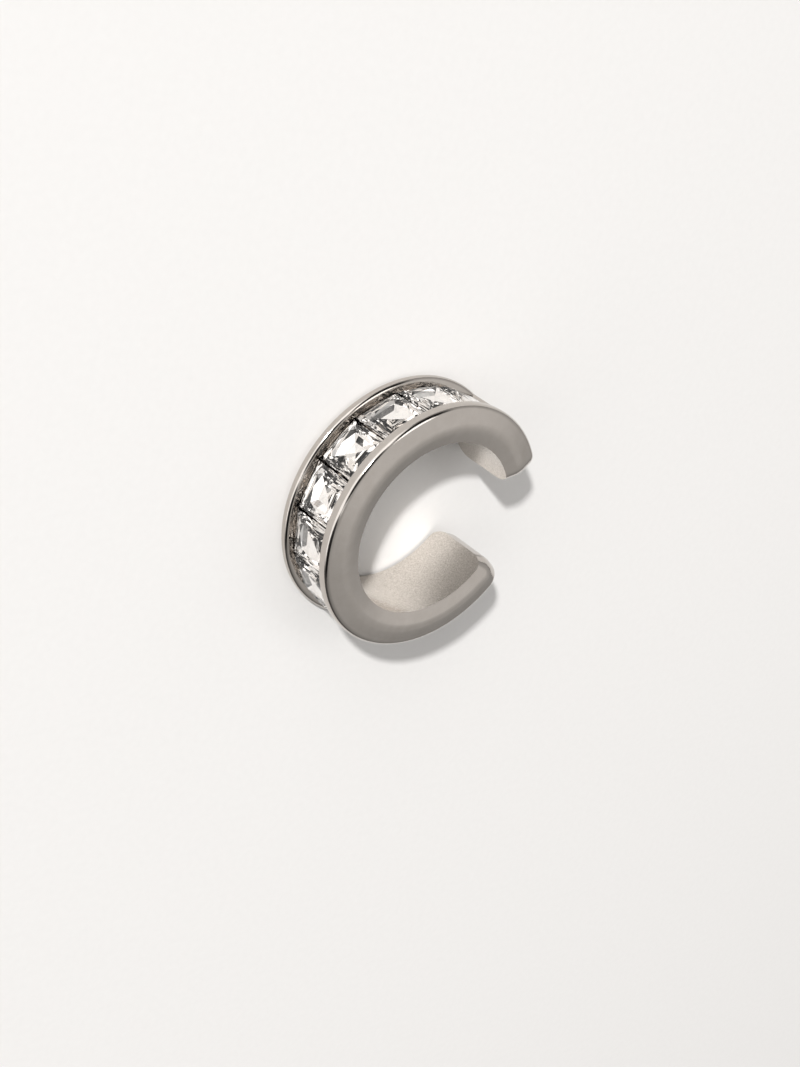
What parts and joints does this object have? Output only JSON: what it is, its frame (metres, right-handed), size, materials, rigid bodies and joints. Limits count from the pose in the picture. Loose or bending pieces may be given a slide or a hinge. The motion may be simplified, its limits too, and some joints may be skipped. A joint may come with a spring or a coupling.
{
  "type": "ear cuff",
  "caption": "C-shaped ear cuff: a polished metal band with a channel of square-cut clear crystals round its outside.",
  "frame": {"origin": "middle of the cuff's outline, on the plane that its lower side face rests on", "axes": "+Z along the axis of the ring, up from the side face it rests on; +X out through the opening of the C; +Y across the opening"},
  "size_m": [0.0126, 0.0134, 0.0042],
  "materials": {
    "polished_metal": "rhodium-plated brass, polished outside and satin in the bore",
    "crystal": "clear cut glass with a silvered back"
  },
  "bodies": {
    "root": {"cuff_band": "polished_metal", "crystal_01": "crystal", "crystal_02": "crystal", "crystal_03": "crystal", "crystal_04": "crystal", "crystal_05": "crystal", "crystal_06": "crystal", "crystal_07": "crystal", "crystal_08": "crystal", "crystal_09": "crystal", "crystal_10": "crystal"}
  },
  "joints": []
}
